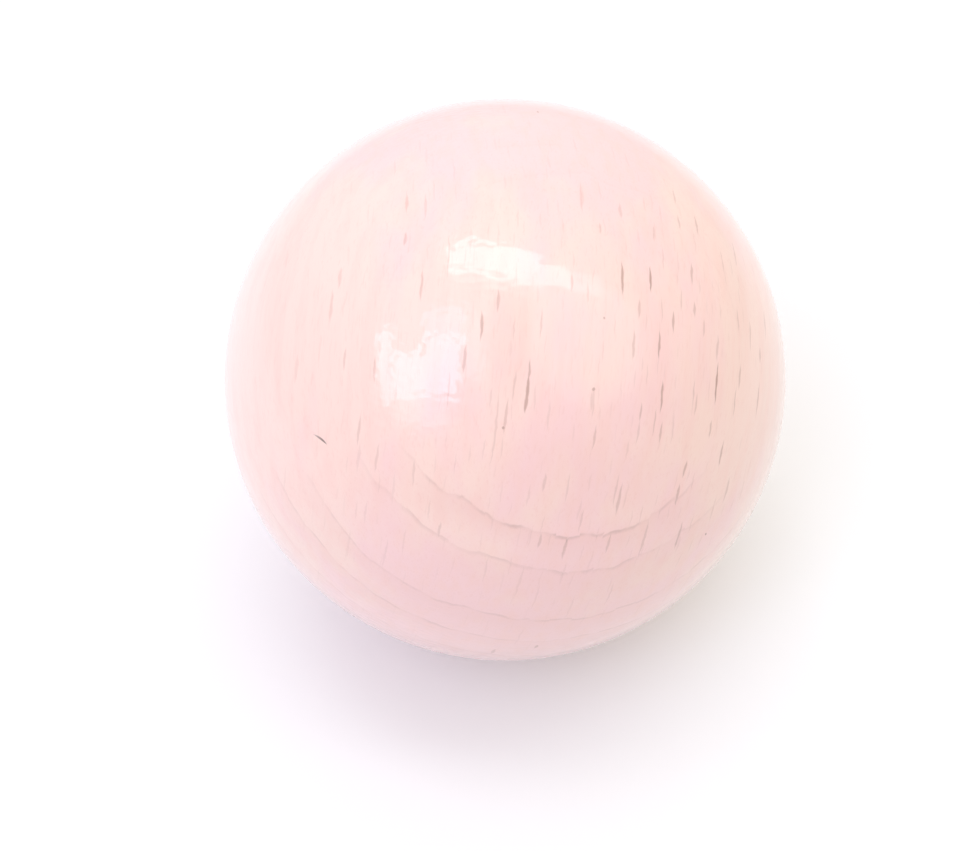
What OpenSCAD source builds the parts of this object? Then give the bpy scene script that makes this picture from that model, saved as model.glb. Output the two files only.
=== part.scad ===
// Wooden ball: turned from one blank of beech to a true sphere and lacquered.
// Millimetres, +Z up. The origin is the centre of the ball.

/* [Ball] */
// Diameter of the ball, across any line through its centre
ball_d = 40; // [20:0.5:100]

/* [Hidden] */

// Pale beech under a clear coat
beech_color = [0.98, 0.86, 0.82];
// Facets round the ball where it is shown as a mesh
$fn = 96;

// The ball is one solid, with no bore, no flat and no seam. The turning leaves
// the same curve everywhere, so it is made as the sphere that it is.
module ball() {
    color(beech_color)
        sphere(d = ball_d);
}

ball();
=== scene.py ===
from math import atan2, cos, hypot, pi, radians, sin

import bmesh
import bpy
import numpy as np
from mathutils import Euler, Matrix, Vector


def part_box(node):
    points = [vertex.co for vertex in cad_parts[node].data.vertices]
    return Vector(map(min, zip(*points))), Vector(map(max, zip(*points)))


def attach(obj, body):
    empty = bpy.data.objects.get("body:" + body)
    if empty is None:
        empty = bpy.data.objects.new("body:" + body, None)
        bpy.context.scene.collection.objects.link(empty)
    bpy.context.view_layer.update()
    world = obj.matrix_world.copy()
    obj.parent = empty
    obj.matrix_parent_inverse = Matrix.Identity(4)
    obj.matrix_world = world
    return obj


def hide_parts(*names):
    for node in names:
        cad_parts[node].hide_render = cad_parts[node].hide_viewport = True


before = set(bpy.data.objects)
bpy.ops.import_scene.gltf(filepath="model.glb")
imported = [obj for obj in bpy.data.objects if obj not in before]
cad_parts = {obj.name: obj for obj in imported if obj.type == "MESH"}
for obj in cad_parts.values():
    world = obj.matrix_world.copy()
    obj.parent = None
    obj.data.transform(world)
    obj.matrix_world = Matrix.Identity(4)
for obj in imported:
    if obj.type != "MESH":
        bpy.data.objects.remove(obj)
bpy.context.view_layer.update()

# =============================================================== the wooden ball
# One solid ball of pale beech, turned between cups from a square blank, sanded fine and
# closed with a thin clear glossy lacquer. It has no hole, flat or seam anywhere.
MM = 0.001
low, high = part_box("ball")
centre = (low + high) / 2
ball_radius = (high.z - low.z) / 2 / MM

# The blank was sawn far from the heart of its log, and the ball lies with the bark side up and
# forward and the grain rising to the back. So the side that shows is flat-sawn: the years
# lie on it as nested loops, and the rays as short spindles, because they are cut end on.
# The blank's own axes are across the grain, along the grain and toward the bark.
blank_turn = Euler((radians(36.2), radians(12.5), radians(3.6)))
heart_distance = 166.0  # heart of the log to the middle of the ball, in mm
# Where each year's growth ends, in mm from the middle of the ball toward the bark, and how
# dark the line is there.
year_ends = [
    (16.95, 1.00),
    (15.40, 0.55),
    (12.00, 0.60),
    (9.55, 0.65),
    (6.50, 0.45),
    (3.90, 0.60),
    (0.60, 0.80),
    (-1.30, 0.50),
    (-4.10, 0.90),
    (-6.30, 0.60),
    (-9.80, 0.75),
    (-12.50, 0.55),
    (-14.30, 0.85),
    (-16.70, 0.60),
    (-19.70, 0.70),
]

# One short nick in the wood, on the left of the bark side, coloured dark grey inside. Its two
# ends are given around the heart of the log and along the grain, in mm.
nick_start = (-13.1, -5.80)
nick_end = (-12.2, -6.45)
nick_width = 0.15
nick_depth = 0.04
nick_bow = 0.07  # how far its middle lies off the straight line between the ends

# The shape: six square patches of faces, as from a cube blown up to a ball. The sanding leaves
# the ball about a hundredth of a millimetre out of true.
cells = 72  # faces along each side of a patch
out_of_true = 0.012
nick_reach = 0.5  # how far round the nick the faces are made finer
nick_cuts = 7
patch_turns = {
    "top": Euler((0, 0, 0)),
    "bottom": Euler((pi, 0, 0)),
    "front": Euler((pi / 2, 0, 0)),
    "back": Euler((-pi / 2, 0, 0)),
    "right": Euler((0, pi / 2, 0)),
    "left": Euler((0, -pi / 2, 0)),
}


def patch(side):
    """One of six square patches of points on a unit ball, spaced evenly by angle."""
    step = np.tan(np.linspace(-pi / 4, pi / 4, cells + 1))
    u, v = np.meshgrid(step, step, indexing="ij")
    points = np.stack([u, v, np.ones_like(u)], 2).reshape(-1, 3)
    points /= np.linalg.norm(points, axis=1)[:, None]
    return points @ np.array(patch_turns[side].to_matrix()).T


def in_blank(points):
    """Points of the ball, in mm, on the blank's axes: across, along the grain, toward the bark."""
    return (points @ np.array(blank_turn.to_matrix())).T


def distance_to_nick(points):
    across, along, toward_bark = in_blank(points)
    from_heart = toward_bark + heart_distance
    here = np.stack([np.arctan2(across, from_heart) * heart_distance, along], 1)
    start = np.array(nick_start)
    run = np.array(nick_end) - start
    share = np.clip((here - start) @ run / (run @ run), 0, 1)
    distance = np.linalg.norm(here - start - share[:, None] * run, axis=1)
    return np.where(toward_bark > 0, distance, ball_radius)


def drop(points):
    """How far the surface lies under the true ball at each point, in mm."""
    across, along, toward_bark = in_blank(points)
    # slow waves, each of its own length along its own axis
    wave = np.sin(0.31 * across + 0.9) * np.sin(0.23 * along + 2.1) + np.sin(0.19 * toward_bark)
    nick = np.exp(-((distance_to_nick(points) / (nick_width / 2)) ** 2))
    return out_of_true * (2 + wave) / 4 + nick_depth * nick


# The six patches lie side by side on the ball's map, three over three.
patch_margin = 0.004
shell = bmesh.new()
map_layer = shell.loops.layers.uv.new("OFBake")
for order, side in enumerate(patch_turns):
    corners = [shell.verts.new(p) for p in patch(side)]
    patch_size = Vector((1 / 3, 1 / 2)) - Vector((2, 2)) * patch_margin
    patch_corner = Vector((order % 3 / 3, order // 3 / 2)) + Vector((1, 1)) * patch_margin
    for i in range(cells):
        for j in range(cells):
            ring = ((i, j), (i + 1, j), (i + 1, j + 1), (i, j + 1))
            face = shell.faces.new([corners[a * (cells + 1) + b] for a, b in ring])
            for loop, (a, b) in zip(face.loops, ring):
                loop[map_layer].uv = patch_corner + patch_size * Vector((b / cells, a / cells))
bmesh.ops.remove_doubles(shell, verts=shell.verts, dist=0.1 / cells)
face_middles = np.array([f.calc_center_median() for f in shell.faces]) * ball_radius
near_nick = distance_to_nick(face_middles) < nick_reach
fine_edges = {e for f, near in zip(shell.faces, near_nick) if near for e in f.edges}
bmesh.ops.subdivide_edges(shell, edges=list(fine_edges), cuts=nick_cuts, use_grid_fill=True)
bmesh.ops.recalc_face_normals(shell, faces=shell.faces)
for face in shell.faces:
    face.smooth = True
turned_mesh = bpy.data.meshes.new("turned_ball")
shell.to_mesh(turned_mesh)
shell.free()
points = np.empty(len(turned_mesh.vertices) * 3)
turned_mesh.vertices.foreach_get("co", points)
points = points.reshape(-1, 3)
points /= np.linalg.norm(points, axis=1)[:, None]
points *= (ball_radius - drop(points * ball_radius))[:, None]
turned_mesh.vertices.foreach_set("co", (points * MM + np.array(centre)).ravel())
turned_mesh.update()
turned_ball = bpy.data.objects.new("turned_ball", turned_mesh)
bpy.context.scene.collection.objects.link(turned_ball)

# The wood and its finish. Everything in the wood follows the blank's own axes: the years, the
# rays that run from the heart to the bark, and the fine pores along the grain. The lacquer
# follows the sanded fibres with a slight ripple.


def seen(red, green, blue):
    """A colour written as it looks, each part from 0 to 255, as the shader wants it."""
    parts = [c / 255 for c in (red, green, blue)]
    return tuple(c / 12.92 if c <= 0.04045 else ((c + 0.055) / 1.055) ** 2.4 for c in parts) + (1,)


class Field:
    """A value that changes over the surface. Arithmetic on it adds nodes to its tree."""

    def __init__(self, tree, socket):
        self.tree = tree
        self.socket = socket

    def node(self, kind, **settings):
        made = self.tree.nodes.new(kind)
        for name, value in settings.items():
            setattr(made, name, value)
        return made

    def give(self, socket, value):
        if isinstance(value, Field):
            self.tree.links.new(value.socket, socket)
        else:
            socket.default_value = value

    def math(self, operation, *others):
        made = self.node("ShaderNodeMath", operation=operation)
        for socket, value in zip(made.inputs, (self, *others)):
            self.give(socket, value)
        return Field(self.tree, made.outputs[0])

    def __add__(self, other):
        return self.math("ADD", other)

    def __sub__(self, other):
        return self.math("SUBTRACT", other)

    def __mul__(self, other):
        return self.math("MULTIPLY", other)

    def __truediv__(self, other):
        return self.math("DIVIDE", other)

    def times_plus(self, factor, more):
        return self.math("MULTIPLY_ADD", factor, more)

    def flipped(self):
        """One minus the field."""
        return self.times_plus(-1.0, 1.0)

    def larger(self, other):
        return self.math("MAXIMUM", other)

    def spread(self, low, high):
        """A field from 0 to 1, made to run from low to high."""
        return self.times_plus(high - low, low)

    def smooth(self, start, end):
        """0 up to start and 1 from end on, with a soft rise between. It falls if end is lower."""
        made = self.node("ShaderNodeMapRange", interpolation_type="SMOOTHSTEP")
        rising = end > start
        for socket, value in zip(made.inputs, (self, min(start, end), max(start, end))):
            self.give(socket, value)
        made.inputs["To Min"].default_value = 0.0 if rising else 1.0
        made.inputs["To Max"].default_value = 1.0 if rising else 0.0
        return Field(self.tree, made.outputs["Result"])

    def curve(self, points):
        """The field read off a line drawn from point to point, in straight runs."""
        points = sorted(points)
        made = self.node("ShaderNodeFloatCurve")
        mapping = made.mapping
        mapping.clip_min_x, mapping.clip_max_x = points[0][0], points[-1][0]
        mapping.clip_min_y = min(y for x, y in points)
        mapping.clip_max_y = max(y for x, y in points)
        drawn = mapping.curves[0].points
        while len(drawn) < len(points):
            drawn.new(0.5, 0.5)
        for knot, point in zip(drawn, points):
            knot.location = point
            knot.handle_type = "VECTOR"
        mapping.update()
        self.give(made.inputs["Value"], self)
        return Field(self.tree, made.outputs[0])


def point_of(x, y, z):
    """Three fields as one point."""
    made = x.node("ShaderNodeCombineXYZ")
    for socket, value in zip(made.inputs, (x, y, z)):
        x.give(socket, value)
    return Field(x.tree, made.outputs[0])


def parts_of(point):
    made = point.node("ShaderNodeSeparateXYZ")
    point.give(made.inputs[0], point)
    return [Field(point.tree, s) for s in made.outputs]


def clouds(point, size, detail=2.0, shape=(1.0, 1.0, 1.0)):
    """Soft noise from 0 to 1 with clouds of this size in mm, longer along each axis by shape."""
    stretch = point.node("ShaderNodeVectorMath", operation="MULTIPLY")
    point.give(stretch.inputs[0], point)
    stretch.inputs[1].default_value = [1 / (size * s) for s in shape]
    made = point.node("ShaderNodeTexNoise")
    point.tree.links.new(stretch.outputs[0], made.inputs["Vector"])
    made.inputs["Scale"].default_value = 1.0
    made.inputs["Detail"].default_value = detail
    return Field(point.tree, made.outputs["Fac"])


def blend(share, first, second):
    """One colour into another by a field. Each colour is a field or a plain colour."""
    made = share.node("ShaderNodeMix", data_type="RGBA")
    share.give(made.inputs["Factor"], share)
    share.give(made.inputs[6], first)
    share.give(made.inputs[7], second)
    return Field(share.tree, made.outputs[2])


def group(name, inputs, outputs):
    """A new node group, its inputs as fields by name, and a function that sets its outputs."""
    tree = bpy.data.node_groups.new(name, "ShaderNodeTree")
    for label, kind in inputs:
        tree.interface.new_socket(name=label, in_out="INPUT", socket_type=kind)
    for label, kind in outputs:
        tree.interface.new_socket(name=label, in_out="OUTPUT", socket_type=kind)
    start = tree.nodes.new("NodeGroupInput")
    end = tree.nodes.new("NodeGroupOutput")
    fields = {label: Field(tree, start.outputs[label]) for label, kind in inputs}

    def put_out(label, field):
        tree.links.new(field.socket, end.inputs[label])

    return tree, fields, put_out


def place(tree, inner, **values):
    """Places a group in a tree with its inputs set, and returns its outputs as fields by name."""
    made = tree.nodes.new("ShaderNodeGroup")
    made.node_tree = inner
    for label, value in values.items():
        socket = made.inputs[label]
        if isinstance(value, Field):
            tree.links.new(value.socket, socket)
        else:
            socket.default_value = value
    return {s.name: Field(tree, s) for s in made.outputs}


def spindle(sideways, lengthways, darkness=1.0):
    """A spindle as dark as this right through, with a soft edge. Each field is 1 at its tip."""
    off_middle = lengthways.times_plus(lengthways, sideways.math("ABSOLUTE"))
    return off_middle.times_plus(-1.8 * darkness, 1.8 * darkness).math("MINIMUM", darkness)


NUMBER, POINT = "NodeSocketFloat", "NodeSocketVector"

# Where a point lies in the log: along the grain, around the heart, and out from it.
in_log, given, put_out = group(
    "place in the log",
    [("Position", POINT)],
    [("Along", NUMBER), ("Around", NUMBER), ("Depth", NUMBER), ("Blank", POINT)],
)
to_blank = given["Position"].node("ShaderNodeMapping", vector_type="TEXTURE")
in_log.links.new(given["Position"].socket, to_blank.inputs["Vector"])
to_blank.inputs["Location"].default_value = centre
to_blank.inputs["Rotation"].default_value = blank_turn
to_blank.inputs["Scale"].default_value = (MM, MM, MM)
blank_point = Field(in_log, to_blank.outputs[0])
across, along, toward_bark = parts_of(blank_point)
from_heart = toward_bark + heart_distance
put_out("Along", along)
put_out("Around", across.math("ARCTAN2", from_heart) * heart_distance)
put_out("Depth", (across * across + from_heart * from_heart).math("SQRT") - heart_distance)
put_out("Blank", blank_point)

# Rays strewn over the wood: columns of them side by side, each column shifted by chance, and in
# every cell of a column one ray of its own height, width, lean and strength, or none.
strewn, given, put_out = group(
    "strewn rays",
    [
        ("Around", NUMBER),
        ("Along", NUMBER),
        ("Column", NUMBER),
        ("Pitch", NUMBER),
        ("Height", NUMBER),
        ("Width", NUMBER),
        ("Share", NUMBER),
        ("Seed", NUMBER),
    ],
    [("Mask", NUMBER)],
)
around = given["Around"] / given["Column"] + given["Seed"]
column = around.math("FLOOR")
chance = around.node("ShaderNodeTexWhiteNoise", noise_dimensions="1D")
strewn.links.new(column.socket, chance.inputs["W"])
along = given["Along"] / given["Pitch"] + Field(strewn, chance.outputs["Value"]) * 7.0
row = along.math("FLOOR")
chance = around.node("ShaderNodeTexWhiteNoise", noise_dimensions="3D")
strewn.links.new(point_of(column, row, given["Seed"]).socket, chance.inputs["Vector"])
first, second, third = parts_of(Field(strewn, chance.outputs["Color"]))
fourth = Field(strewn, chance.outputs["Value"])
ray_height = given["Height"] * second.spread(0.45, 1.0)
spare = (ray_height / given["Pitch"]).flipped() * 0.9
from_mid_height = (along - row - 0.5 - (third - 0.5) * spare) * given["Pitch"]
lean = (first * third - 0.25) * 0.08
from_middle = (around - column - 0.5 - (first - 0.5) * 0.7) * given["Column"]
from_middle = from_middle - from_mid_height * lean
ray = spindle(
    from_middle / (given["Width"] * fourth.spread(0.3, 0.5)),
    from_mid_height / (ray_height * 0.5),
)
there = fourth.math("LESS_THAN", given["Share"]) * (second * third).spread(0.4, 1.6)
put_out("Mask", ray.larger(0.0) * there)

beech = bpy.data.materials.new("lacquered_beech")
beech.use_nodes = True
tree = beech.node_tree
tree.nodes.clear()
coordinates = tree.nodes.new("ShaderNodeTexCoord")
position = Field(tree, coordinates.outputs["Object"])
log = place(tree, in_log, Position=position)
blank_point = log["Blank"]
across, along, toward_bark = parts_of(blank_point)

# The fibres wander a little, so neither the rays nor the years run quite true.
wander_width = 0.30
ragged_width = 0.15
wander = clouds(blank_point, 2.2, detail=1.0, shape=(1.0, 2.5, 1.0)) - 0.5
ragged = clouds(blank_point, 0.3, detail=1.0, shape=(1.0, 2.0, 1.0)) - 0.5
around = ragged.times_plus(ragged_width, wander.times_plus(wander_width, log["Around"]))

# The boldest rays of this ball: around the heart and along the grain to the ray's middle, its
# height, its width, and how dark it is. All places and sizes are in mm.
bold_rays = [
    (-2.65, -1.7, 1.5, 0.16, 0.60),
    (-2.65, -2.6, 1.7, 0.22, 0.80),
    (-2.68, -3.4, 1.4, 0.20, 0.75),
    (8.0, -1.0, 2.8, 0.20, 0.95),
    (3.5, 4.4, 1.8, 0.20, 0.90),
    (1.9, 4.2, 2.2, 0.22, 0.80),
    (4.5, -2.3, 2.1, 0.20, 0.75),
    (4.1, 0.6, 1.9, 0.20, 0.75),
    (0.6, -3.0, 1.3, 0.20, 0.28),
    (5.0, 2.1, 1.5, 0.20, 0.60),
    (2.6, 0.4, 2.0, 0.22, 0.40),
    (3.3, -3.3, 1.2, 0.18, 0.45),
    (6.7, -2.4, 1.5, 0.18, 0.35),
    (7.9, -3.7, 1.2, 0.18, 0.45),
    (4.7, -4.3, 1.4, 0.20, 0.45),
    (9.8, -0.3, 1.8, 0.20, 0.45),
    (11.7, 1.4, 1.2, 0.22, 0.45),
    (6.9, 2.1, 1.2, 0.18, 0.32),
    (6.3, 3.1, 1.1, 0.18, 0.42),
    (2.8, 2.5, 1.4, 0.18, 0.38),
    (2.0, 8.5, 1.2, 0.20, 0.32),
    (0.7, 7.1, 0.8, 0.20, 0.35),
    (1.0, -5.0, 1.6, 0.18, 0.35),
    (-1.2, -7.7, 1.2, 0.20, 0.28),
    (3.0, -8.3, 2.1, 0.22, 0.42),
    (6.7, -6.2, 1.2, 0.20, 0.55),
    (6.6, -7.7, 1.5, 0.20, 0.50),
    (9.1, -5.0, 1.8, 0.20, 0.60),
    (10.3, -7.1, 1.9, 0.20, 0.35),
    (11.7, -1.4, 2.5, 0.20, 0.50),
    (10.7, 2.4, 2.2, 0.20, 0.33),
    (7.0, 8.8, 1.6, 0.20, 0.45),
    (6.2, 5.3, 1.6, 0.20, 0.48),
    (5.7, 10.5, 1.4, 0.18, 0.35),
    (5.7, 8.6, 1.2, 0.18, 0.38),
    (3.9, 7.4, 1.2, 0.18, 0.32),
    (-0.2, 9.0, 2.4, 0.20, 0.30),
    (-0.8, 3.5, 1.2, 0.20, 0.35),
    (-4.4, 2.1, 1.5, 0.22, 0.42),
    (-5.1, 0.6, 1.9, 0.22, 0.62),
    (-5.8, -1.3, 1.8, 0.24, 0.48),
    (-4.0, -5.0, 4.8, 0.16, 0.25),
    (-8.2, 2.8, 2.1, 0.20, 0.42),
    (-9.2, 8.0, 1.6, 0.20, 0.34),
    (-9.1, 5.6, 1.0, 0.22, 0.40),
    (-7.0, 4.6, 3.0, 0.14, 0.28),
    (-10.1, -2.1, 1.8, 0.20, 0.34),
    (-11.7, -1.5, 1.5, 0.20, 0.36),
    (-12.4, 3.3, 1.5, 0.24, 0.36),
    (-14.3, -2.0, 2.0, 0.24, 0.34),
    (-15.5, 5.0, 1.6, 0.26, 0.24),
    (-12.7, 1.6, 2.3, 0.22, 0.38),
    (-10.6, -5.5, 2.0, 0.20, 0.33),
    (-9.6, -7.0, 1.9, 0.18, 0.26),
    (-6.0, -10.8, 1.0, 0.20, 0.30),
    # rays at the lower years, which make the lines jump
    (7.5, -10.1, 1.9, 0.22, 0.50),
    (-0.8, -11.0, 1.0, 0.20, 0.35),
    (0.7, -11.3, 1.6, 0.22, 0.40),
    (3.0, -10.9, 1.3, 0.20, 0.35),
    (5.2, -10.5, 2.6, 0.20, 0.32),
    # and specks of dust under the lacquer
    (0.65, -2.35, 0.26, 0.24, 0.75),
    (-3.6, -4.9, 0.22, 0.20, 0.80),
    (9.7, -9.9, 0.20, 0.20, 0.90),
    (1.0, 1.7, 0.20, 0.18, 0.60),
    (-0.9, -18.6, 0.50, 0.30, 0.45),
    (-1.6, 16.0, 0.30, 0.20, 0.70),
    (1.5, -18.0, 0.36, 0.26, 0.60),
]
rays = None
for ray_around, ray_along, ray_height, ray_width, darkness in bold_rays:
    sideways = around.times_plus(2 / ray_width, -2 / ray_width * ray_around)
    lengthways = along.times_plus(2 / ray_height, -2 / ray_height * ray_along)
    ray = spindle(sideways, lengthways, darkness)
    rays = ray if rays is None else rays.larger(ray)

# The rest of the rays, in three layers from the widest to hair-thin ones: width of a column,
# pitch along it, height and width of a ray, share of the cells with one, darkness and seed.
ray_layers = [
    (2.3, 5.0, 2.4, 0.26, 0.45, 0.34, 0.0),
    (1.1, 3.4, 2.0, 0.19, 0.50, 0.26, 31.4),
    (0.6, 2.1, 1.5, 0.15, 0.60, 0.15, 77.7),
]
# They are a little fainter toward the left and toward both ends of the grain.
fainter_left = log["Around"].smooth(-15.0, 6.0).spread(0.6, 1.0)
fainter_front = along.smooth(-15.0, -9.0).spread(0.5, 1.0)
fainter_back = along.smooth(15.0, 9.0).spread(0.4, 1.0)
fainter = fainter_left * fainter_front * fainter_back
for column, pitch, ray_height, ray_width, share, darkness, seed in ray_layers:
    layer = place(
        tree,
        strewn,
        Around=around,
        Along=along,
        Column=column,
        Pitch=pitch,
        Height=ray_height,
        Width=ray_width,
        Share=share,
        Seed=seed,
    )
    rays = rays.larger(layer["Mask"] * (fainter * darkness))
# On the sides of the ball the rays are cut lengthways, so the dark spindles fade out there.
cut_end_on = across.math("ABSOLUTE").smooth(18.5, 11.0)
rays = rays.larger(0.0) * cut_end_on.spread(0.25, 1.0)

# The years: the growth darkens toward the year's end and stops there at a thin broken line.
# Both are plainest toward the front and on the heart side, and a ray pulls the line a little
# toward the heart. Where rays part the wood, the line jumps.
drift = clouds(blank_point, 5.0, detail=2.0, shape=(1.0, 2.0, 1.0)) - 0.5
scallops = clouds(blank_point, 1.8, detail=1.0, shape=(1.0, 8.0, 1.0)) - 0.5
jump_every = 1.3
parted = (around / jump_every).math("FLOOR")
chance = tree.nodes.new("ShaderNodeTexWhiteNoise")
chance.noise_dimensions = "1D"
tree.links.new(parted.socket, chance.inputs["W"])
jumps = Field(tree, chance.outputs["Value"]) - 0.5
# Each is given how far it can move a year's end, in mm.
depth = log["Depth"] + drift * 0.7 + scallops * 0.6 + jumps * 0.16 + ragged * 0.08 + rays * 0.3
# The outermost and the innermost year are cut off by the ball, so their widths are set here.
outermost_width = 3.4
innermost_width = 2.6
year_count = [(end, k) for k, (end, dark) in enumerate(year_ends)]
year_count.append((year_ends[0][0] + outermost_width, -1))
year_count.append((year_ends[-1][0] - innermost_width, len(year_ends)))
year = depth.curve(year_count)
into_year = year.math("FRACT")
line = into_year.smooth(0.075, 0.005).larger(into_year.smooth(0.97, 1.0))
late = into_year.smooth(0.75, 0.0)
end_rise = log["Around"].math("ABSOLUTE") * 0.2
plainness = (along + end_rise).smooth(-4.0, -9.0).larger(toward_bark.smooth(0.0, -7.0) * 0.7)
plainness = plainness.spread(0.10, 1.0) * depth.curve(year_ends)
broken = clouds(blank_point, 1.4, detail=2.0).smooth(0.36, 0.60)
line = line * plainness * broken.spread(0.15, 1.0)
late = late * plainness

# Pores: hair-thin streaks along the grain, and dots where the grain is cut across.
pores = clouds(blank_point, 0.12, detail=2.0, shape=(1.0, 9.0, 1.0)).smooth(0.54, 0.72)
streaks = clouds(blank_point, 0.8, detail=3.0, shape=(1.0, 16.0, 1.3))
blush = clouds(blank_point, 3.6, detail=4.0, shape=(1.0, 2.2, 1.0))

# The nick is coloured dark grey along its middle, tapering to both ends.
nick_middle = [(a + b) / 2 for a, b in zip(nick_start, nick_end)]
nick_run = [b - a for a, b in zip(nick_start, nick_end)]
nick_length = hypot(*nick_run)
nick_turn = atan2(nick_run[1], nick_run[0])
nick_around = log["Around"] - nick_middle[0]
nick_along = along - nick_middle[1]
lengthways = nick_around * cos(nick_turn) + nick_along * sin(nick_turn)
sideways = nick_along * cos(nick_turn) - nick_around * sin(nick_turn)
lengthways = lengthways * (2 / nick_length)
bow = (lengthways * lengthways).flipped() * nick_bow
nick_mark = spindle((sideways - bow) * (2 / nick_width), lengthways) * lengthways.smooth(-2.0, 0.6)
nick_mark = nick_mark.larger(0.0) * toward_bark.math("GREATER_THAN", 0.0)

warm = seen(254, 225, 214)
pink = seen(253, 217, 216)
streak_shade = seen(252, 213, 203)
late_growth = seen(240, 198, 190)
line_grey = seen(186, 150, 142)
ray_brown = seen(186, 148, 136)
pore_shade = seen(238, 190, 178)
# the dark grey colour laid along the nick
nick_mark_grey = seen(92, 72, 68)
# How much of each shade shows where it is strongest.
streak_share = 0.40
late_share = 0.30
pore_share = 0.16
line_share = 0.36
ray_share = 0.90
nick_mark_share = 0.85
# The wood is pinker toward the two ends of the grain and warmer toward the sides.
pinker_ends = (along * along - across * across) * 0.001
wood_colour = blend((blush + pinker_ends).smooth(0.35, 0.70), warm, pink)
wood_colour = blend(streaks.smooth(0.40, 0.72) * streak_share, wood_colour, streak_shade)
wood_colour = blend(late * late_share, wood_colour, late_growth)
wood_colour = blend(pores * pore_share, wood_colour, pore_shade)
wood_colour = blend(line * line_share, wood_colour, line_grey)
wood_colour = blend(rays * ray_share, wood_colour, ray_brown)
# The nick is coloured dark grey along its middle.
wood_colour = blend(nick_mark * nick_mark_share, wood_colour, nick_mark_grey)

# Height of the sanded and lacquered surface in thousandths of a millimetre. The lacquer has a
# fine ripple that follows the fibres, and on the left, toward the back, it is less even.
even_height = 4.0
uneven_height = 17.0
streak_height = 4.0
ripple = clouds(blank_point, 0.36, detail=0.0, shape=(1.5, 1.0, 1.0))
on_left = log["Around"].smooth(-2.0, -6.0) * log["Around"].smooth(-13.5, -8.5)
toward_back = along.smooth(-5.0, 3.0).spread(0.65, 1.0)
ripple_height = (on_left * toward_back).spread(even_height, uneven_height)
relief_height = ripple.times_plus(ripple_height, streaks * streak_height)

surface = tree.nodes.new("ShaderNodeBsdfPrincipled")
result = tree.nodes.new("ShaderNodeOutputMaterial")
relief = tree.nodes.new("ShaderNodeBump")
relief.inputs["Strength"].default_value = 1.0
relief.inputs["Distance"].default_value = 0.001 * MM
tree.links.new(relief_height.socket, relief.inputs["Height"])
tree.links.new(wood_colour.socket, surface.inputs["Base Color"])
tree.links.new(streaks.spread(0.35, 0.55).socket, surface.inputs["Roughness"])
tree.links.new(relief.outputs["Normal"], surface.inputs["Normal"])
tree.links.new(relief.outputs["Normal"], surface.inputs["Coat Normal"])
surface.inputs["Coat Weight"].default_value = 1.0
surface.inputs["Coat Roughness"].default_value = 0.06
surface.inputs["Coat IOR"].default_value = 1.5
tree.links.new(surface.outputs["BSDF"], result.inputs["Surface"])

turned_mesh.materials.append(beech)
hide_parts("ball")
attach(turned_ball, "root")

# ===================================================================== the table
# A plain white table top under the ball. It takes the ball's shadow, and where nothing
# shades it, it is as white as the room round it. Far from the ball it runs into the room.
table_size = 6.0  # in metres, as are the ends below
table_white = 0.80  # what it gives back of the light that falls on it
table_tone = (0.895, 0.95, 0.965, 1)  # and its colour as the eye sees it
table_ends = (0.13, 0.32)  # where it starts to run into the room, and where it is one with it
mirrored_light = 0.8  # how bright the white table and room are in the lacquer
table_mesh = bpy.data.meshes.new("table_top")
reach = table_size / 2
table_corners = ((-reach, -reach), (reach, -reach), (reach, reach), (-reach, reach))
table_mesh.from_pydata([(x, y, low.z) for x, y in table_corners], [], [(0, 1, 2, 3)])
table_top = bpy.data.objects.new("table_top", table_mesh)
bpy.context.scene.collection.objects.link(table_top)


def as_seen(tree, in_lacquer):
    """How bright a white thing shows: fully to the camera and through glass, in_lacquer in a
    mirrored view, and 0 for the rays that only carry its light."""
    paths = tree.nodes.new("ShaderNodeLightPath")
    through_glass = Field(tree, paths.outputs["Is Transmission Ray"])
    mirrored = Field(tree, paths.outputs["Is Glossy Ray"]) * in_lacquer
    return Field(tree, paths.outputs["Is Camera Ray"]).larger(through_glass).larger(mirrored)


white_top = bpy.data.materials.new("white_table")
white_top.use_nodes = True
tree = white_top.node_tree
tree.nodes.clear()
result = tree.nodes.new("ShaderNodeOutputMaterial")
paint = tree.nodes.new("ShaderNodeBsdfDiffuse")
brightness = as_seen(tree, mirrored_light)
looked_at = brightness.math("GREATER_THAN", 0.0)
shade = blend(looked_at, (table_white, table_white, table_white, 1), table_tone)
tree.links.new(shade.socket, paint.inputs["Color"])
coordinates = tree.nodes.new("ShaderNodeTexCoord")
x, y, z = parts_of(Field(tree, coordinates.outputs["Object"]))
far_off = (x * x + y * y).math("SQRT").smooth(*table_ends) * looked_at
far_white = tree.nodes.new("ShaderNodeEmission")
tree.links.new(brightness.socket, far_white.inputs["Strength"])
whole_table = tree.nodes.new("ShaderNodeMixShader")
tree.links.new(far_off.socket, whole_table.inputs["Fac"])
tree.links.new(paint.outputs[0], whole_table.inputs[1])
tree.links.new(far_white.outputs[0], whole_table.inputs[2])
tree.links.new(whole_table.outputs[0], result.inputs["Surface"])
table_mesh.materials.append(white_top)

# ==================================================================== the lights
# A white room with a strip light on the ceiling, a cool window at the front left and a weaker
# round diffuser at the front right. All three show in the lacquer. The light of the room is
# warm from the ceiling, and comes from the back and from both sides of it.
room = bpy.data.worlds.new("white_room")
bpy.context.scene.world = room
room.use_nodes = True
tree = room.node_tree
tree.nodes.clear()
result = tree.nodes.new("ShaderNodeOutputWorld")
direction = tree.nodes.new("ShaderNodeTexCoord")
to_right, to_back, upward = parts_of(Field(tree, direction.outputs["Generated"]))

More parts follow.
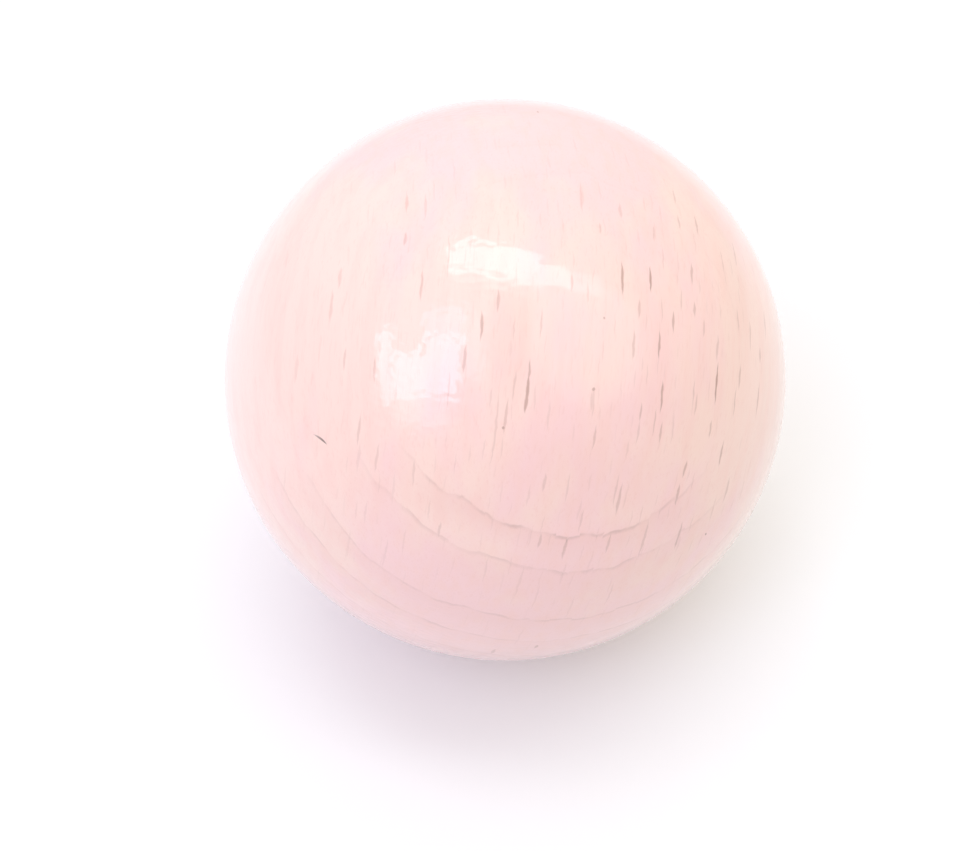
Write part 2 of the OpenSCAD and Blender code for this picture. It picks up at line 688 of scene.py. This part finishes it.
# The light that each side of the room gives, strongest in its own direction.
ceiling_light = 0.69
back_light = 0.62
left_light = 0.44
right_light = 0.43
window_glow = 0.39
ceiling_warm = (1.05, 0.97, 0.86, 1)
back_blue = (0.75, 0.72, 0.86, 1)
left_pink = (1.23, 1.00, 1.18, 1)
right_warm = (1.34, 1.25, 1.04, 1)
window_lilac = (1.00, 0.75, 0.99, 1)
from_ceiling = upward.smooth(0.0, 1.0) * ceiling_light
from_back = to_back.smooth(0.0, 1.0) * back_light
from_left = (to_back * 0.35 - to_right * 0.94).smooth(0.0, 1.0) * left_light
from_right = (to_back * 0.5 + to_right * 0.87).smooth(0.0, 1.0) * right_light
toward_window = upward * 0.75 - to_right * 0.48 - to_back * 0.45
round_window = toward_window.smooth(0.75, 1.0) * window_glow

# Between the window and the diffuser a patch of the ceiling is dark, which shows faintly in the
# lacquer. It is laid out by how far to the right and to the back a direction points, from 0
# straight up to 1 at the horizon.
gap_middle = (0.03, -0.42)
gap_half = (0.14, 0.30)
gap_dark = 0.1
gap_right = (to_right - gap_middle[0]) / gap_half[0]
gap_back = (to_back - gap_middle[1]) / gap_half[1]
off_gap = (gap_right * gap_right + gap_back * gap_back).math("SQRT").smooth(0.7, 1.3)
below_ceiling = upward.smooth(0.5, 0.3)
off_gap = off_gap.larger(below_ceiling).spread(gap_dark, 1.0)
brightness = as_seen(tree, off_gap * mirrored_light)
looked_at = brightness.math("GREATER_THAN", 0.0)


def background(strength, colour):
    made = tree.nodes.new("ShaderNodeBackground")
    made.inputs["Color"].default_value = colour
    tree.links.new(strength.socket, made.inputs["Strength"])
    return made.outputs[0]


def added(first, second):
    made = tree.nodes.new("ShaderNodeAddShader")
    tree.links.new(first, made.inputs[0])
    tree.links.new(second, made.inputs[1])
    return made.outputs[0]


lit = background(from_ceiling, ceiling_warm)
lit = added(lit, background(from_back, back_blue))
lit = added(lit, background(from_left, left_pink))
lit = added(lit, background(from_right, right_warm))
lit = added(lit, background(round_window, window_lilac))
walls = tree.nodes.new("ShaderNodeMixShader")
tree.links.new(looked_at.socket, walls.inputs["Fac"])
tree.links.new(lit, walls.inputs[1])
tree.links.new(background(brightness, (1, 1, 1, 1)), walls.inputs[2])
tree.links.new(walls.outputs[0], result.inputs["Surface"])


def lamp(name, toward, distance, width_axis, width, depth, light, colour):
    """An area lamp that faces the ball, round if it has no depth. Its light is what it adds to a
    white surface that faces it."""
    data = bpy.data.lights.new(name, "AREA")
    data.shape = "RECTANGLE" if depth else "DISK"
    data.size = width
    if depth:
        data.size_y = depth
    data.energy = light * (pi * distance) ** 2
    data.color = colour
    made = bpy.data.objects.new(name, data)
    bpy.context.scene.collection.objects.link(made)
    away = Vector(toward).normalized()
    sideways = Vector(width_axis)
    sideways = (sideways - away * sideways.dot(away)).normalized()
    turn = Matrix((sideways, away.cross(sideways), away)).transposed()
    made.matrix_world = Matrix.Translation(centre + away * distance) @ turn.to_4x4()
    made.visible_camera = False
    return made


# The strip light and the window show in the lacquer with uneven outlines, so each is several
# lamps side by side. Each row gives the way from the ball to the lamp, the way its width runs,
# its width and its depth in metres, its light, and its colour.
ceiling_distance = 0.6
strip_white = (1.0, 1.0, 1.03)
strip_end_pink = (1.0, 0.94, 1.0)
strip_lamps = {
    "strip": ((-0.074, 0.066, 0.995), (0.96, -0.26, 0.09), 0.325, 0.132, 0.125, strip_white),
    "strip_lower": ((-0.04, -0.085, 0.996), (0.97, -0.24, 0.02), 0.362, 0.039, 0.012, strip_white),
    "strip_tail": ((0.273, -0.028, 0.962), (0.96, 0.11, -0.27), 0.124, 0.085, 0.026, strip_white),
    "strip_end": ((0.457, -0.033, 0.889), (0.89, 0.0, -0.46), 0.121, 0.079, 0.011, strip_end_pink),
}
for name, (toward, width_axis, width, depth, light, colour) in strip_lamps.items():
    lamp(name, toward, ceiling_distance, width_axis, width, depth, light, colour)

window_distance = 0.5
sky = (0.70, 0.79, 1.0)
sky_above = (0.65, 0.65, 1.0)
sky_right = (0.70, 0.80, 1.0)
sky_edge = (0.80, 0.85, 1.0)
sky_below = (0.60, 0.87, 1.0)
window_lamps = {
    "window": ((-0.403, -0.541, 0.738), (0.91, -0.29, 0.29), 0.123, 0.193, 0.105, sky),
    "window_low": ((-0.594, -0.513, 0.619), (0.81, -0.37, 0.45), 0.102, 0.136, 0.058, sky),
    "window_top": ((-0.389, -0.304, 0.87), (0.92, -0.19, 0.35), 0.130, 0.099, 0.031, sky_above),
    "window_right": ((-0.212, -0.457, 0.864), (0.98, -0.06, 0.21), 0.073, 0.226, 0.020, sky_right),
    "window_edge": ((-0.715, -0.405, 0.57), (0.70, -0.42, 0.58), 0.043, 0.241, 0.039, sky_edge),
    "window_sill": ((-0.507, -0.702, 0.5), (0.86, -0.36, 0.37), 0.148, 0.091, 0.022, sky_below),
}
for name, (toward, width_axis, width, depth, light, colour) in window_lamps.items():
    lamp(name, toward, window_distance, width_axis, width, depth, light, colour)

# The diffuser is a round lamp that lights the wood, and just in front of it is a face that only
# shows in the lacquer, because it shows brighter there than its light on the wood would make it.
to_diffuser = (0.51, -0.39, 0.77)
diffuser = lamp(
    "diffuser",
    to_diffuser,
    distance=0.5,
    width_axis=(1, 0, 0),
    width=0.396,
    depth=0,
    light=0.080,
    colour=(1.08, 0.94, 0.85),
)
diffuser.visible_glossy = False
diffuser_face = lamp(
    "diffuser_face",
    to_diffuser,
    distance=0.45,
    width_axis=(1, 0, 0),
    width=0.356,
    depth=0,
    light=0.110,
    colour=(0.8, 1.05, 1.0),
)
diffuser_face.visible_diffuse = False

# ==================================================================== the camera
# A close view from the front, looking down on the ball at about fifty degrees.
sensor_width = 36.0
lens = 40.0
camera_data = bpy.data.cameras.new("camera")
camera_data.sensor_width = sensor_width
camera_data.lens = lens
camera_data.clip_start = 0.005
camera = bpy.data.objects.new("camera", camera_data)
bpy.context.scene.collection.objects.link(camera)
bpy.context.scene.camera = camera
look_down = radians(50)
camera_distance = 4.0 * ball_radius * MM
ball_right = 0.0129  # how far right of and above the line of sight the ball's middle lies
ball_above = 0.0396
turned = Matrix.Rotation(pi / 2 - look_down, 3, "X")
off_sight = Vector((ball_right, ball_above, -1)) * camera_distance
camera.matrix_world = Matrix.Translation(centre - turned @ off_sight) @ turned.to_4x4()
bpy.context.scene.view_settings.view_transform = "Standard"
